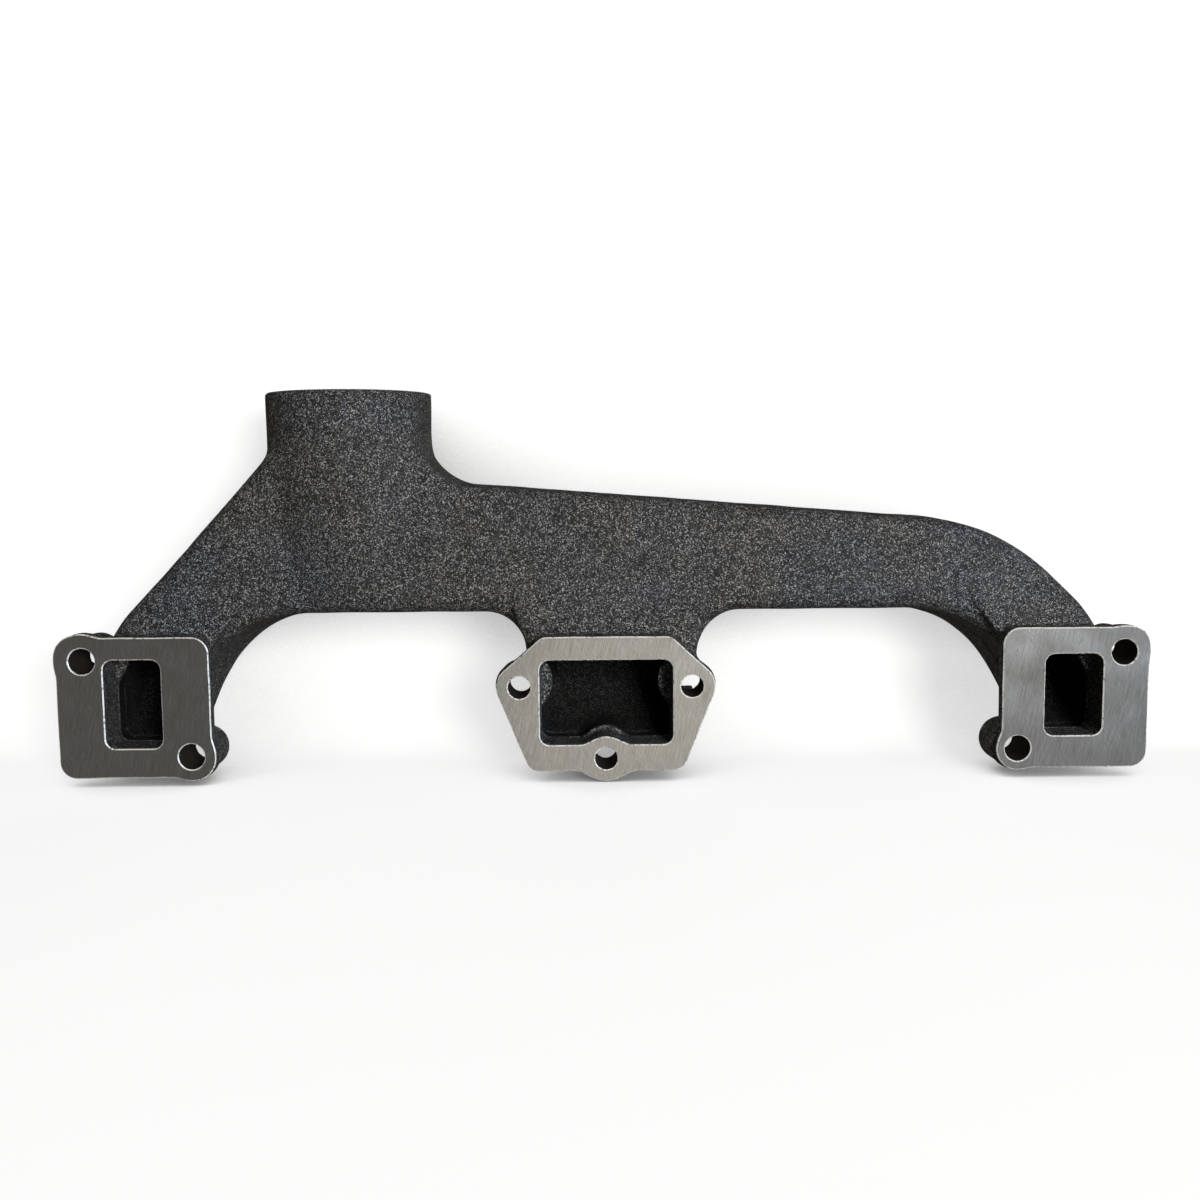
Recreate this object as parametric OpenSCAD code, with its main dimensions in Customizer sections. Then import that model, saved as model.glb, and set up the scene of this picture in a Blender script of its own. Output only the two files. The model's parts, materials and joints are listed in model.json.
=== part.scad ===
// Cast-iron exhaust manifold for a small four-cylinder engine.
// The head side faces -Y and every machined port face lies in the plane Y = 0.
// Z is up along the outlet neck, X runs along the log.
// The origin is midway between the two upper bolt holes of the centre flange, on the machined face.

/* [Bolt pattern] */
// Distance between the two upper bolt holes of the centre flange
centre_bolt_spacing = 70.2; // [69:0.1:72]
// Drop of the lower centre bolt hole below the upper pair
centre_bolt_drop = 29.5; // [29:0.1:30.5]
// Distance between the two outermost bolt holes
outer_bolt_spacing = 421.6; // [420:0.2:423]
// Height of the outermost bolt holes above the upper centre holes
outer_bolt_rise = 12.3; // [12:0.1:13]
// Distance between the two inner bolt holes of the end flanges
inner_bolt_spacing = 336.2; // [335:0.2:337]
// Drop of the inner end-flange holes below the upper centre holes
inner_bolt_drop = 27.0; // [26.4:0.1:27.4]
// Radius of the bolt holes in the end flanges
end_hole_r = 5.3; // [4.8:0.1:5.5]
// Radius of the bolt holes in the centre flange
centre_hole_r = 4.6; // [4.2:0.1:4.8]

/* [Flanges] */
// Thickness of the three port flanges
flange_t = 8; // [7:0.5:9]
// Corner radius of the end flanges
flange_corner_r = 6; // [4:0.5:7]
// Radius of the bolt bosses behind the end flanges
end_boss_r = 9.2; // [8.8:0.1:9.4]
// Radius of the bolt bosses behind the centre flange
centre_boss_r = 9.2; // [8.8:0.1:9.4]
// Depth of the end bosses behind the machined face
end_boss_depth = 23.5; // [18:0.5:26]
// Depth of the two upper centre bosses behind the machined face
centre_boss_depth = 20; // [18:0.5:22]
// Depth of the lower centre boss behind the machined face
lower_boss_depth = 23; // [20:0.5:24]

/* [Ports] */
// Corner radius of the port openings
port_corner_r = 4; // [3:0.5:5]
// Depth of the straight part of each port before the passage turns upward
port_straight = 16; // [15:0.5:18]
// Thickness of the casting wall
wall = 5; // [4:0.5:5.5]

/* [Log] */
// Distance from the machined faces to the front wall of the log
log_setback = 14; // [13:0.5:15]
// Depth of the log from front wall to back wall
log_depth = 48; // [46:0.5:50]
// Height of the log underside
log_bottom = 30.5; // [30:0.5:31]
// Height of the log top where it leaves the collector
log_top_left = 82; // [80:0.5:84]
// Radius of the long edges of the log and arms
edge_r = 7; // [5:0.5:8]

/* [Outlet] */
// Outside radius of the outlet neck
neck_r = 34.6; // [34:0.1:35]
// Radius of the bore in the outlet neck
neck_bore_r = 28.8; // [28:0.1:29.4]
// Height of the outlet rim
neck_top = 120.2; // [116:0.2:124]

/* [Hidden] */
$fn = 64;
eps = 0.02;            // thickness of a hull section
reach = 1;             // how far a cut runs past the faces it opens
hull_fn = 28;          // facets of rounded edges inside hulls

log_front = log_setback;
log_back = log_setback + log_depth;
log_mid = (log_front + log_back) / 2;
core_r = 4;            // edge radius of the passages

// bolt positions, [x, z]
centre_left_bolt = [-centre_bolt_spacing / 2, 0];
centre_right_bolt = [centre_bolt_spacing / 2, 0];
centre_lower_bolt = [0, -centre_bolt_drop];
left_upper_bolt = [-outer_bolt_spacing / 2, outer_bolt_rise];
right_upper_bolt = [outer_bolt_spacing / 2, outer_bolt_rise];
left_lower_bolt = [-inner_bolt_spacing / 2, -inner_bolt_drop];
right_lower_bolt = [inner_bolt_spacing / 2, -inner_bolt_drop];

// port openings, [left, right, bottom, top]
left_port = [-202.5, -179.4, -23.5, 12.7];
right_port = [178.7, 202.4, -21.9, 11.8];
centre_port = [-26.9, 27.3, -23.8, 11];
port_lobe_r = 9.1;     // the centre port is narrowed by the land of the lower bolt

// end flange outlines, [left, right, bottom, top]
left_outline = [-221.3, -159.8, -35.6, 21.8];
right_outline = [161.4, 220.9, -35.1, 22.6];
left_lobes = [11.3, 9.9];    // radii of the lands round the outer and the inner bolt
right_lobes = [10.4, 9.2];

// centre flange outline
centre_land_r = 9.3;   // land round the upper bolts
centre_top = 20.5;     // top edge
centre_top_half = 29;  // half length of the top edge
centre_foot = -34.6;   // bottom edge
centre_foot_half = 33; // half length of the bottom edge at its corners
foot_corner_r = 6;     // rounding of the bottom corners
top_corner_r = 5;      // rounding of the top corners

// the arms bend about these centres, [x, z]
right_pivot = [129, -17.5];
left_pivot = [-126.5, -17.5];
bend_in = 48;          // radius of the arm undersides
bend_out = 84.5;       // radius of the right arm top
arm_end = 35;          // angle above horizontal where the arms meet the elbows
arm_start = 78;        // angle above horizontal where the left arm leaves the collector
arm_mid = (arm_end + arm_start) / 2;

// straight top edge of the left arm, from the neck to the end flange
arm_top_high = [-141, 94];
arm_top_low = [-205, 21];

collector_end = -58;   // right face of the collector
split_x = 0;           // plane between the two halves of the log
log_end = right_pivot[0];
log_top_right = right_pivot[1] + bend_out;

// bulge of the neck below the outlet
neck_x = -107.5;
bulge_low = 43;        // height where the bulge fades into the front wall
bulge_low_r = log_depth / 2;
shoulder = 95;         // height where the neck leaves the collector
shoulder_reach = 30;   // how far the flat body runs right of the neck axis at the shoulder
rim_chamfer = 1.2;     // bevel round the outlet rim

// centre runner
runner_half = 36;      // half width just below the log
runner_zone = 49;      // half width of the blend to the log underside
zone_top = 38;         // top of the centre runner
runner_blend_r = runner_zone - runner_half;
waist_half = 26.5;     // half width between the bolt heads
elbow_z = 17.5;        // height about which the passages turn forward
head_relief = 8.6;     // free radius for a bolt head behind each boss

iron = [0.2, 0.2, 0.21];
machined = [0.62, 0.62, 0.6];

// ---- positions ----
function along(p, q, d) = p + d * (q - p) / norm(q - p);
function polar(c, r, a) = c + r * [cos(a), sin(a)];
function log_top(x) =
  log_top_left + (log_top_right - log_top_left) * (x - collector_end) / (log_end - collector_end);
// point where a ray from the left pivot meets the straight top edge of the left arm
function arm_edge(a) =
  let (d = arm_top_low - arm_top_high, u = [cos(a), sin(a)], w = arm_top_high - left_pivot)
  left_pivot + u * (w[0] * d[1] - w[1] * d[0]) / (u[0] * d[1] - u[1] * d[0]);

// ---- shared shapes ----
// extrudes an outline drawn in X and Z from one depth to another
module slab(y0, y1) {
  rotate([90, 0, 0]) translate([0, 0, -y1]) linear_extrude(y1 - y0) children();
}

module rounded_rect(b, r) {
  translate([b[0] + r, b[2]]) square([b[1] - b[0] - 2 * r, b[3] - b[2]]);
  translate([b[0], b[2] + r]) square([b[1] - b[0], b[3] - b[2] - 2 * r]);
  for (x = [b[0] + r, b[1] - r], z = [b[2] + r, b[3] - r]) translate([x, z]) circle(r);
}

module pin_at(p, r, y0, y1) {
  translate([p[0], y0, p[1]]) rotate([-90, 0, 0]) cylinder(r = r, h = y1 - y0);
}

// thin rounded cross-section across the duct, from its inner to its outer edge
module section(p0, p1, inset, t0, t1) {
  a = along(p0, p1, inset);
  b = along(p1, p0, inset);
  r = inset > 0 ? core_r : edge_r;
  translate([a[0], 0, a[1]]) rotate([0, -atan2(b[1] - a[1], b[0] - a[0]), 0])
    for (u = [r, norm(b - a) - r], y = [log_front + inset + r, log_back - inset - r])
      translate([u, y, t0]) cylinder(r = r, h = t1 - t0, $fn = hull_fn);
}

module log_section(x, inset, t0, t1) {
  section([x, log_bottom], [x, log_top(x)], inset, t0, t1);
}

module left_section(a, inset, t0, t1) {
  section(polar(left_pivot, bend_in, 180 - a), arm_edge(180 - a), inset, t0, t1);
}

module right_section(a, inset, t0, t1) {
  section(polar(right_pivot, bend_in, a), polar(right_pivot, bend_out, a), inset, t0, t1);
}

// balls along the turned-up floor of an elbow
module elbow_floor(x0, x1, floor_z, y_back, r) {
  depth = y_back - port_straight;
  drop = elbow_z - floor_z;
  for (a = [0:22.5:90], x = [x0 + r, x1 - r])
    translate([x, port_straight + (depth - r) * cos(a), elbow_z - (drop - r) * sin(a)])
      sphere(r = r, $fn = 20);
}

module port_slab(b, r, y0, y1) {
  slab(y0, y1) rounded_rect(b, r);
}

function grow(b, d) = [b[0] - d, b[1] + d, b[2] - d, b[3] + d];

// ---- port flanges ----
module end_outline(b, outer_bolt, inner_bolt, lobes) {
  rounded_rect(b, flange_corner_r);
  translate(outer_bolt) circle(lobes[0]);
  translate(inner_bolt) circle(lobes[1]);
}

module end_flange(outline, port, outer_bolt, inner_bolt, lobes) {
  difference() {
    slab(0, flange_t) end_outline(outline, outer_bolt, inner_bolt, lobes);
    port_slab(port, port_corner_r, -reach, flange_t + reach);
    pin_at(outer_bolt, end_hole_r, -reach, flange_t + reach);
    pin_at(inner_bolt, end_hole_r, -reach, flange_t + reach);
  }
}

module left_flange() {
  color(machined) end_flange(left_outline, left_port, left_upper_bolt, left_lower_bolt, left_lobes);
}

module right_flange() {
  color(machined) end_flange(right_outline, right_port, right_upper_bolt, right_lower_bolt, right_lobes);
}

module centre_outline() {
  hull() {
    translate(centre_left_bolt) circle(centre_land_r);
    translate(centre_right_bolt) circle(centre_land_r);
    for (s = [-1, 1]) {
      translate([s * (centre_top_half - top_corner_r), centre_top - top_corner_r]) circle(top_corner_r);
      translate([s * (centre_foot_half - foot_corner_r), centre_foot + foot_corner_r])
        circle(foot_corner_r);
    }
  }
  translate(centre_lower_bolt) circle(centre_land_r);
}

// centre port: a wide opening with the round land of the lower bolt standing into its floor
module centre_opening() {
  difference() {
    rounded_rect(centre_port, port_corner_r);
    translate(centre_lower_bolt) circle(port_lobe_r);
  }
}

module centre_flange() {
  color(machined) difference() {
    slab(0, flange_t) centre_outline();
    slab(-reach, flange_t + reach) centre_opening();
    pin_at(centre_left_bolt, centre_hole_r, -reach, flange_t + reach);
    pin_at(centre_right_bolt, centre_hole_r, -reach, flange_t + reach);
    pin_at(centre_lower_bolt, centre_hole_r, -reach, flange_t + reach);
  }
}

// ---- bolt bosses behind the flanges ----
module boss(p, r, hole_r, depth) {
  difference() {
    pin_at(p, r, flange_t, depth);
    pin_at(p, hole_r, flange_t - reach, depth + reach);
    children();
  }
}

module left_upper_boss() {
  color(iron) boss(left_upper_bolt, end_boss_r, end_hole_r, end_boss_depth)
    port_slab(left_port, port_corner_r, 0, end_boss_depth + reach);
}

module left_lower_boss() {
  color(iron) boss(left_lower_bolt, end_boss_r, end_hole_r, end_boss_depth)
    port_slab(left_port, port_corner_r, 0, end_boss_depth + reach);
}

module right_upper_boss() {
  color(iron) boss(right_upper_bolt, end_boss_r, end_hole_r, end_boss_depth)
    port_slab(right_port, port_corner_r, 0, end_boss_depth + reach);
}

module right_lower_boss() {
  color(iron) boss(right_lower_bolt, end_boss_r, end_hole_r, end_boss_depth)
    port_slab(right_port, port_corner_r, 0, end_boss_depth + reach);
}

module centre_left_boss() {
  color(iron) boss(centre_left_bolt, centre_boss_r, centre_hole_r, centre_boss_depth)
    port_slab(centre_port, port_corner_r, 0, centre_boss_depth + reach);
}

module centre_right_boss() {
  color(iron) boss(centre_right_bolt, centre_boss_r, centre_hole_r, centre_boss_depth)
    port_slab(centre_port, port_corner_r, 0, centre_boss_depth + reach);
}

module centre_lower_boss() {
  color(iron) boss(centre_lower_bolt, centre_boss_r, centre_hole_r, lower_boss_depth);
}

// ---- end elbows ----
// room for the boss and for the bolt head behind it
module boss_room(p, r, depth) {
  pin_at(p, r, 0, depth);
  pin_at(p, head_relief, depth - reach, log_back + reach);
}

module left_elbow() {
  color(iron) difference() {
    hull() {
      left_section(arm_end, 0, 0, eps);
      elbow_floor(left_port[0] - wall, left_port[1] + wall, left_port[2] - wall, log_back, edge_r);
      port_slab(grow(left_port, wall), edge_r, flange_t, flange_t + eps, $fn = hull_fn);
    }
    hull() {
      left_section(arm_end, wall, -reach, reach);
      elbow_floor(left_port[0] + core_r, left_port[1], left_port[2], log_back - wall, core_r);
      port_slab(left_port, port_corner_r, port_straight - eps, port_straight, $fn = hull_fn);
    }
    port_slab(left_port, port_corner_r, flange_t - reach, port_straight + reach);
    boss_room(left_upper_bolt, end_boss_r, end_boss_depth);
    boss_room(left_lower_bolt, end_boss_r, end_boss_depth);
  }
}

module right_elbow() {
  color(iron) difference() {
    hull() {
      right_section(arm_end, 0, -eps, 0);
      elbow_floor(right_port[0] - wall, right_port[1] + wall, right_port[2] - wall, log_back, edge_r);
      port_slab(grow(right_port, wall), edge_r, flange_t, flange_t + eps, $fn = hull_fn);
    }
    hull() {
      right_section(arm_end, wall, -reach, reach);
      elbow_floor(right_port[0], right_port[1] - core_r, right_port[2], log_back - wall, core_r);
      port_slab(right_port, port_corner_r, port_straight - eps, port_straight, $fn = hull_fn);
    }
    port_slab(right_port, port_corner_r, flange_t - reach, port_straight + reach);
    boss_room(right_upper_bolt, end_boss_r, end_boss_depth);
    boss_room(right_lower_bolt, end_boss_r, end_boss_depth);
  }
}

// ---- arms ----
module left_arm() {
  color(iron) difference() {
    union() {
      hull() {
        left_section(arm_start, 0, 0, eps);
        left_section(arm_mid, 0, -eps, eps);
      }
      hull() {
        left_section(arm_mid, 0, -eps, eps);
        left_section(arm_end, 0, -eps, 0);
      }
    }
    hull() {
      left_section(arm_start, wall, -reach, reach);
      left_section(arm_mid, wall, -eps, eps);
    }
    hull() {
      left_section(arm_mid, wall, -eps, eps);
      left_section(arm_end, wall, -reach, reach);
    }
  }
}

module bend_profile(inset, r) {
  translate([0, -log_back - log_front])
    rounded_rect([bend_in + inset, bend_out - inset, log_front + inset, log_back - inset], r);
}

module right_bend() {
  color(iron) translate([right_pivot[0], 0, right_pivot[1]]) rotate([90, 0, 0]) difference() {
    rotate([0, 0, arm_end]) rotate_extrude(angle = 90 - arm_end) bend_profile(0, edge_r);
    rotate([0, 0, arm_end - reach])
      rotate_extrude(angle = 90 - arm_end + 2 * reach) bend_profile(wall, core_r);
  }
}

// ---- log ----
module log_body(x0, x1, inset, run) {
  hull() {
    log_section(x0, inset, -run, eps);
    log_section(x1, inset, -eps, run);
  }
}

module centre_zone() {
  translate([-runner_zone, 0, 0]) cube([2 * runner_zone, log_back + reach, zone_top]);
}

module log_left() {
  color(iron) difference() {
    log_body(split_x, collector_end, 0, 0);
    log_body(split_x, collector_end, wall, reach);
    centre_zone();
  }
}

module log_right() {
  color(iron) difference() {
    log_body(log_end, split_x, 0, 0);
    log_body(log_end, split_x, wall, reach);
    centre_zone();
  }
}

// ---- centre runner ----
module runner_blend() {
  slab(log_front + edge_r / 2, log_back - edge_r / 2) difference() {
    translate([-runner_zone, log_bottom - runner_blend_r])
      square([2 * runner_zone, runner_blend_r + edge_r]);
    for (s = [-1, 1]) translate([s * runner_zone, log_bottom - runner_blend_r]) circle(runner_blend_r);
  }
}

module centre_runner() {
  color(iron) difference() {
    union() {
      hull() {
        section([-runner_half, zone_top], [runner_half, zone_top], 0, -eps, 0);
        elbow_floor(-waist_half, waist_half, centre_port[2] - wall, log_back, edge_r);
        port_slab([-runner_half, runner_half, centre_port[2] - wall, elbow_z],
          edge_r, flange_t, flange_t + eps, $fn = hull_fn);
      }
      intersection() {
        runner_blend();
        centre_zone();
      }
      intersection() {
        log_body(runner_zone, -runner_zone, 0, 0);
        centre_zone();
      }
    }
    log_body(runner_zone, -runner_zone, wall, reach);
    hull() {
      section([-runner_half, zone_top], [runner_half, zone_top], wall, 0, reach);
      elbow_floor(wall - waist_half, waist_half - wall, centre_port[2], log_back - wall, core_r);
      port_slab(centre_port, port_corner_r, port_straight - eps, port_straight, $fn = hull_fn);
    }
    slab(flange_t - reach, port_straight + reach) rounded_rect(centre_port, port_corner_r);
    boss_room(centre_left_bolt, centre_boss_r, centre_boss_depth);
    boss_room(centre_right_bolt, centre_boss_r, centre_boss_depth);
    boss_room(centre_lower_bolt, centre_boss_r, lower_boss_depth);
  }
}

// ---- collector and outlet ----
module neck_cylinder(r, z0, z1) {
  translate([neck_x, log_mid, z0]) cylinder(r = r, h = z1 - z0);
}

module collector() {
  color(iron) difference() {
    union() {
      hull() {
        log_section(collector_end, 0, 0, eps);
        left_section(arm_start, 0, -eps, 0);
        section([arm_top_high[0], shoulder], [neck_x + shoulder_reach, shoulder], 0, -eps, 0);
      }
      translate([neck_x, log_mid, bulge_low])
        cylinder(r1 = bulge_low_r, r2 = neck_r, h = shoulder - bulge_low);
    }
    hull() {
      log_section(collector_end, wall, -reach, reach);
      left_section(arm_start, wall, -reach, reach);
      section([arm_top_high[0], shoulder - wall], [neck_x + shoulder_reach, shoulder - wall],
        wall, -eps, 0);
    }
    translate([neck_x, log_mid, bulge_low])
      cylinder(r1 = bulge_low_r - wall, r2 = neck_bore_r, h = shoulder - bulge_low);
    neck_cylinder(neck_bore_r - eps, shoulder - reach, shoulder + reach);
  }
}

module outlet_neck() {
  color(iron) difference() {
    union() {
      neck_cylinder(neck_r, shoulder, neck_top - rim_chamfer);
      translate([neck_x, log_mid, neck_top - rim_chamfer])
        cylinder(r1 = neck_r, r2 = neck_r - rim_chamfer, h = rim_chamfer);
    }
    neck_cylinder(neck_bore_r, shoulder - reach, neck_top + reach);
  }
}

left_flange();
centre_flange();
right_flange();
left_upper_boss();
left_lower_boss();
right_upper_boss();
right_lower_boss();
centre_left_boss();
centre_right_boss();
centre_lower_boss();
left_elbow();
left_arm();
collector();
outlet_neck();
log_left();
log_right();
centre_runner();
right_bend();
right_elbow();
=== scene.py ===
"""Looks of a cast-iron exhaust manifold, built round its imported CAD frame.

The casting is a signed distance field in millimetres: ducts, neck, flanges and bosses joined by cast
fillets, and hollowed by the gas passages. Its surface is meshed, milled flat at the port faces and the
outlet rim, and then cut into the same named regions as the CAD nodes.
"""
import itertools
import json
import math

import bmesh
import bpy
import numpy as np
from mathutils import Matrix, Vector


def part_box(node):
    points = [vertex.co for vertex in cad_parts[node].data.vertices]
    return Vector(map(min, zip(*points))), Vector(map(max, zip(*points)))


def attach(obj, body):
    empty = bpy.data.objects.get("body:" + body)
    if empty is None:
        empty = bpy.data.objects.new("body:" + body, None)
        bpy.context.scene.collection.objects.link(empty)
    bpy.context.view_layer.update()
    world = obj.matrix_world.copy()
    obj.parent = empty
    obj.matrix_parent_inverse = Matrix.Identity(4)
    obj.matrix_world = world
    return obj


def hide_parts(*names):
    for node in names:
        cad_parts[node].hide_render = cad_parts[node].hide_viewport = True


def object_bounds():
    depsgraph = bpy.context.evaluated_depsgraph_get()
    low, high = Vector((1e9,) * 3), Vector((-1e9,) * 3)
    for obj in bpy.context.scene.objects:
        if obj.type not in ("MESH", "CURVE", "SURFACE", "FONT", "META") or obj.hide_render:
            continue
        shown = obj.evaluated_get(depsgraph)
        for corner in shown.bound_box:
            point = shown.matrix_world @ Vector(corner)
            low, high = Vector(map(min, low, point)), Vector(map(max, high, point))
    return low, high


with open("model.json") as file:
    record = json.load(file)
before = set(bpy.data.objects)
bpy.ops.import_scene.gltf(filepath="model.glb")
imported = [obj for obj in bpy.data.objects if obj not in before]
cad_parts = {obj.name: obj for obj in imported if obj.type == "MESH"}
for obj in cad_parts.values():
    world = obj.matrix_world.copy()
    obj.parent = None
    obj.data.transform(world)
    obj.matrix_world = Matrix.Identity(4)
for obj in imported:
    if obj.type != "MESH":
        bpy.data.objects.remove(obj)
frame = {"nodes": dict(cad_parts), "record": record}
cad_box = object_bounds()

# ---- sizes in millimetres; X along the log, Y into the casting, Z up ----
MM = 0.001
WALL = 5.0              # casting wall
EDGE_R = 6.0            # rounding of the long cast edges
CORE_R = 4.0            # rounding of the passages
BEND_IN = 47.0          # inner radius of the arms at their front edge, below the log
LEFT_ARC_X = -124.0     # where the underside starts to turn down into each arm
RIGHT_ARC_X = 127.0
LEFT_STRETCH = 1.05     # how much wider than high that bend is at each end
RIGHT_STRETCH = 1.10
UNDER_DRAFT = 0.08      # slope of the underside and of the inner arm sides towards the back
BEND_45 = 82.9          # outer radius of the right bend at 45 degrees
OUTER_CORNER = 12.0     # rounding where an arm turns down into its elbow
ELBOW_Y = 16.0          # axis of the elbow floors
ELBOW_Z = 17.5
LEFT_PIVOT_X = -126.5
ARM_HIGH = (-138.7, 93.6)   # straight top edge of the left arm
ARM_LOW = (-204.1, 21.5)
NECK_FLAT = -76.9       # right edge of the flat wall that runs up beside the neck
GUSSET_R = 22.0
FLAT_TOP = 112.0
BULGE_LOSS = 11.1       # how much slimmer the neck is at the height BULGE_Z
BULGE_Z = 40.0
BULGE_FADE = 18.0
BORE_R = 28.8
RUNNER_MID = 3.2
RUNNER_HALF = 35.4
RUNNER_FILLET = 18.0
PLATE_BACK_R = 3.5
PLATE_FILLET = 3.0
BOSS_FILLET = 2.5
BOSS_END_R = 2.2
HEAD_RELIEF = 8.6       # free radius for a bolt head behind each boss
ISLAND_R = 13.1         # metal left round the bolts where they pass the ducts
LOW_ISLAND_R = 10.4     # the same round the lower centre bolt
PORT_DEPTH = 16.0       # where the core fin runs round each port
PORT_END = 24.0         # where the straight ports end, inside the ducts
SLEEVE_END = 30.0       # where the metal round the straight end ports ends
PORT_R = 4.0
LOBE_R = 9.1            # land of the lower centre bolt, standing into the port
CUT_Y = 8.6             # plane that parts the flanges from what is behind them
SHADED_PASSAGE_Y = 17.5           # the passages are painted dark behind this depth, as the shade deep inside them

# openings and plates, as (left, right, bottom, top)
LEFT_PORT = (-202.5, -179.4, -23.5, 12.7)
RIGHT_PORT = (178.7, 202.4, -21.9, 11.8)
CENTRE_PORT = (-26.9, 27.3, -23.8, 11.0)
LEFT_PLATE = (-221.3, -159.8, -35.6, 21.8)
RIGHT_PLATE = (161.4, 220.9, -35.1, 22.6)
PLATE_CORNER = 6.8
LEFT_LANDS = (11.3, 9.9)    # lands round the outer and the inner bolt of each end plate
RIGHT_LANDS = (10.4, 8.7)
CENTRE_PLATE = ((-35.1, 0.0, 9.3), (-24.0, 15.5, 5.0), (24.5, 15.5, 5.0),
                (35.1, 0.0, 9.3), (27.4, -28.6, 6.0), (-27.0, -28.6, 6.0))   # x, z, radius

FAR = 100.0             # distance that stands for far outside
PORT_SPLIT = 90.0       # the end ports lie further from the middle than this
RAMP = 0.4              # how steeply the front wall comes forward towards the flanges
RAMP_TOP = 37.0         # height where that starts
RAMP_LENGTH = 20.0      # how far down it goes
CENTRE_RAMP = 39.0      # half width of the ramp above the centre flange
MIDDLE_X = 1.2          # middle of the front face
CREASE_AT = (150.3, 36.6)   # point on each end ramp's crease: distance from MIDDLE_X, height
CREASE_SLOPE = (0.9, 0.44)  # direction across that crease
RUNNER_TAPER = 3.5      # how much narrower each side of the runner gets towards the flange
TAPER_TOP = 18.0        # height where that starts
TAPER_LENGTH = 46.0
NECK_EASE = 0.95        # keeps the neck's field even where it tapers
PARTING_HEIGHT = 0.35   # ridge along the mould's parting plane
PARTING_WIDTH = 0.8
RELIEF_EDGE_R = 1.2
PLATE_LOBE_R = 9.3      # land of the lower centre bolt, outside
BORE_BOTTOM = 42.0      # the outlet bore opens into the ducts here
PORT_BEVEL = 0.45
RIM_BEVEL = 0.8
GRID = 0.9              # grid of the mesh
FINE_GRID = 0.4         # across the parting line


def span(node):
    """Lowest and highest corner of a CAD node, in millimetres."""
    lo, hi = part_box(node)
    return np.array(lo) / MM, np.array(hi) / MM


def read_bolts():
    """Every bolt hole with its boss: position, boss radius, boss depth and hole radius."""
    mounts = {m["name"]: m for m in frame["record"]["mounts"]}
    centre_half = mounts["centre_flange_bolts"]["dims"]["spacing_x_mm"] / 2
    centre_x = {"centre_left_boss": -centre_half, "centre_right_boss": centre_half}
    found = {}
    for node in sorted(n for n in frame["nodes"] if n.endswith("_boss")):
        lo, hi = span(node)
        side = node.split("_")[0]
        hole = mounts[f"{side}_flange_bolts"]["dims"]["hole_r_mm"]
        found[node] = {
            "x": centre_x.get(node, (lo[0] + hi[0]) / 2), "z": (lo[2] + hi[2]) / 2,
            "boss": (hi[2] - lo[2]) / 2, "depth": hi[1], "hole": hole,
        }
    return found


BOLTS = read_bolts()
log_lo, log_hi = span("log_left")
LOG_FRONT, LOG_BACK, LOG_BOTTOM = log_lo[1], log_hi[1], log_lo[2]
LOG_X0, LOG_Z0 = log_lo[0], log_hi[2]
LOG_X1, LOG_Z1 = span("log_right")[1][0], span("right_bend")[1][2]
PIVOT_Z = LOG_BOTTOM - 48.0
BEND_90 = LOG_Z1 - PIVOT_Z
neck_lo, neck_hi = span("outlet_neck")
NECK_X, NECK_Y = (neck_lo[0] + neck_hi[0]) / 2, (neck_lo[1] + neck_hi[1]) / 2
NECK_R, NECK_TOP = (neck_hi[0] - neck_lo[0]) / 2, neck_hi[2]
LEFT_WALL = LEFT_PORT[0] - WALL
RIGHT_WALL = RIGHT_PORT[1] + WALL


# ---- distance fields: negative inside ----
def join(a, b, r):
    """Union with a fillet of radius r in the corner."""
    return np.maximum(r, np.minimum(a, b)) - np.hypot(np.maximum(r - a, 0), np.maximum(r - b, 0))


def meet(a, b, r):
    """Intersection with its edge rounded to radius r."""
    return np.minimum(-r, np.maximum(a, b)) + np.hypot(np.maximum(a + r, 0), np.maximum(b + r, 0))


def rounded_box(x, z, box, r):
    left, right, bottom, top = box
    u = np.abs(x - (left + right) / 2) - (right - left) / 2 + r
    v = np.abs(z - (bottom + top) / 2) - (top - bottom) / 2 + r
    return np.hypot(np.maximum(u, 0), np.maximum(v, 0)) + np.minimum(np.maximum(u, v), 0) - r


def from_bolt(x, z, name):
    bolt = BOLTS[name]
    return np.hypot(x - bolt["x"], z - bolt["z"])


def tapered_capsule(x, z, start, end):
    """Stadium between two circles of different radius, each given as x, z, radius."""
    dx, dz = end[0] - start[0], end[1] - start[1]
    length = math.hypot(dx, dz)
    sine = (start[2] - end[2]) / length
    cosine = math.sqrt(1 - sine * sine)
    along = ((x - start[0]) * dx + (z - start[1]) * dz) / length
    across = np.abs((x - start[0]) * dz - (z - start[1]) * dx) / length
    k = along * cosine - across * sine
    body = across * cosine + along * sine - start[2]
    ends = np.where(k < 0, np.hypot(across, along) - start[2], np.hypot(across, along - length) - end[2])
    return np.where((k < 0) | (k > cosine * length), ends, body)


def hull_of_circles(x, z, circles):
    """Convex outline round circles that are listed clockwise."""
    inner = -FAR
    edge = FAR
    for start, end in zip(circles, circles[1:] + circles[:1]):
        dx, dz = end[0] - start[0], end[1] - start[1]
        length = math.hypot(dx, dz)
        inner = np.maximum(inner, ((z - start[1]) * dx - (x - start[0]) * dz) / length)
        edge = np.minimum(edge, tapered_capsule(x, z, start, end))
    return np.minimum(inner, edge)


def fade(t):
    """Smooth step from 0 to 1."""
    t = np.clip(t, 0, 1)
    return t * t * (3 - 2 * t)


def by_place(x, left, centre, right):
    """One value for each of the three ports."""
    return np.where(x < -PORT_SPLIT, left, np.where(x > PORT_SPLIT, right, centre))


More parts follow.
